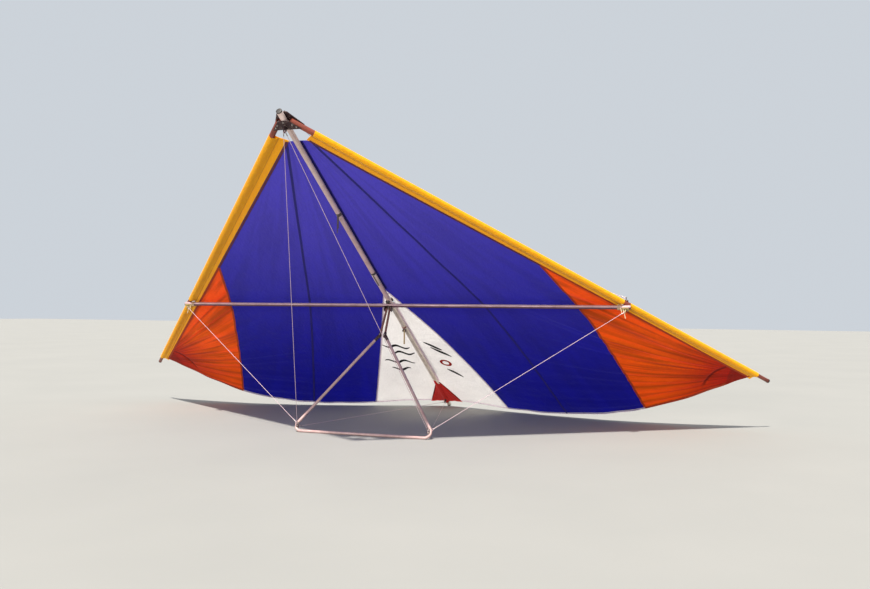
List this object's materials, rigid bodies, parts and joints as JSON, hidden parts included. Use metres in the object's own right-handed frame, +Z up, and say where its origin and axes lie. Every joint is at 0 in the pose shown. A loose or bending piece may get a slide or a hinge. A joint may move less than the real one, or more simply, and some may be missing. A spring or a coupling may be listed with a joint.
{
  "type": "hang glider",
  "caption": "Flexible two-lobed hang glider with keel, leading edges, crossbar, kingpost, wires and control frame, parked nose up.",
  "frame": {"origin": "centre of the bounding box's foot, on the ground between the base bar and the tail", "axes": "+X across the span, to the right as seen from the front, +Y aft from nose to tail, +Z up"},
  "size_m": [7.2634, 4.4132, 2.682],
  "materials": {
    "keel_tube": "weathered bare tube",
    "leading_edge_tube": "worn red-brown coating",
    "crossbar_tube": "dull bare tube",
    "dark_fitting": "dark coated plate",
    "pale_fitting": "cream coated plate",
    "neck_tube": "brown coating",
    "leg_tube": "dull bare tube",
    "wire": "stranded cable",
    "end_cap": "moulded cap",
    "cloth_yellow": "woven sailcloth",
    "cloth_blue": "woven sailcloth",
    "cloth_white": "woven sailcloth",
    "cloth_orange": "woven sailcloth",
    "cloth_red": "woven sailcloth",
    "webbing": "woven strap"
  },
  "bodies": {
    "root": {"keel_tube": "keel_tube", "keel_cap_front": "end_cap", "keel_cap_tail": "end_cap", "leading_edge_tube_right": "leading_edge_tube", "leading_edge_tube_left": "leading_edge_tube", "leading_edge_cap_right": "end_cap", "leading_edge_cap_left": "end_cap", "nose_plate_upper": "dark_fitting", "nose_plate_lower": "dark_fitting", "nose_tang": "dark_fitting", "nose_tang_upper": "dark_fitting", "crossbar_tube": "crossbar_tube", "crossbar_end_bracket_right": "pale_fitting", "crossbar_end_bracket_left": "pale_fitting", "upper_wire_tang_right": "dark_fitting", "upper_wire_tang_left": "dark_fitting", "hub_bracket": "dark_fitting", "kingpost_bracket": "dark_fitting", "tail_tang": "dark_fitting", "tail_tang_upper": "dark_fitting", "lower_front_wire_right": "wire", "lower_front_wire_left": "wire", "lower_rear_wire_right": "wire", "lower_rear_wire_left": "wire", "upper_nose_wire": "wire", "upper_tail_wire": "wire", "sail_blue_inner_right": "cloth_blue", "sail_blue_inner_left": "cloth_blue", "sail_blue_outer_right": "cloth_blue", "sail_blue_outer_left": "cloth_blue", "sail_orange_tip_right": "cloth_orange", "sail_orange_tip_left": "cloth_orange", "sail_white_root_right": "cloth_white", "sail_white_root_left": "cloth_white", "sail_red_tail_right": "cloth_red", "sail_red_tail_left": "cloth_red", "sail_pocket_right": "cloth_yellow", "sail_pocket_left": "cloth_yellow", "keel_band_front": "webbing", "keel_band_middle": "webbing", "hang_bracket": "dark_fitting"},
    "control_frame": {"control_frame_neck_right": "neck_tube", "control_frame_neck_left": "neck_tube", "knee_fitting_right": "dark_fitting", "knee_fitting_left": "dark_fitting", "control_frame_leg_right": "leg_tube", "control_frame_leg_left": "leg_tube", "control_frame_base_bar": "leg_tube", "corner_tang_right": "dark_fitting", "corner_tang_left": "dark_fitting", "lower_side_wire_right": "wire", "lower_side_wire_left": "wire"},
    "kingpost": {"kingpost_tube": "keel_tube", "kingpost_cap": "end_cap", "upper_side_wire_right": "wire", "upper_side_wire_left": "wire"},
    "hang_loop": {"hang_loop": "webbing"}
  },
  "joints": [
    {"name": "control_frame_fold", "type": "hinge", "parent": "root", "child": "control_frame", "pos_m": [0, 0.10409, 1.1683], "axis": [1, 0, 0], "range_deg": [0, 80], "deforming": ["lower_front_wire_right", "lower_front_wire_left", "lower_rear_wire_right", "lower_rear_wire_left"]},
    {"name": "kingpost_fold", "type": "hinge", "parent": "root", "child": "kingpost", "pos_m": [0, 0.18342, 1.30041], "axis": [1, 0, 0], "range_deg": [0, 85], "deforming": ["upper_nose_wire", "upper_tail_wire"]},
    {"name": "hang_loop_swing", "type": "hinge", "parent": "root", "child": "hang_loop", "pos_m": [0, 0.57902, 0.94761], "axis": [1, 0, 0], "range_deg": [-75, 40]}
  ]
}
